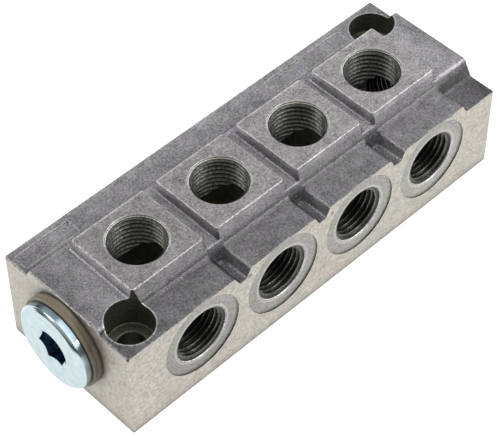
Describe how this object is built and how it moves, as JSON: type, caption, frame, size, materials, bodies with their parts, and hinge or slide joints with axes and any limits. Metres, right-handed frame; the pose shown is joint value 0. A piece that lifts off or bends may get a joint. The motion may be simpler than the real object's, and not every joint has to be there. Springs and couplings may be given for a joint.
{
  "type": "pneumatic distributor block",
  "caption": "Die-cast air distributor block with tapped ports on top and front, a through channel and a collar plug in one end.",
  "frame": {"origin": "middle of the block's flat bottom face", "axes": "+X along the main channel, away from the plugged end; -Y out of the front ports; +Z out of the top ports"},
  "size_m": [0.1228, 0.041, 0.0318],
  "materials": {
    "cast_alloy": "matt",
    "plated_steel": "bright",
    "khaki_plastic": "satin"
  },
  "bodies": {
    "root": {"distributor_body": "cast_alloy", "screw_plug": "plated_steel", "sealing_ring": "khaki_plastic"}
  },
  "joints": []
}
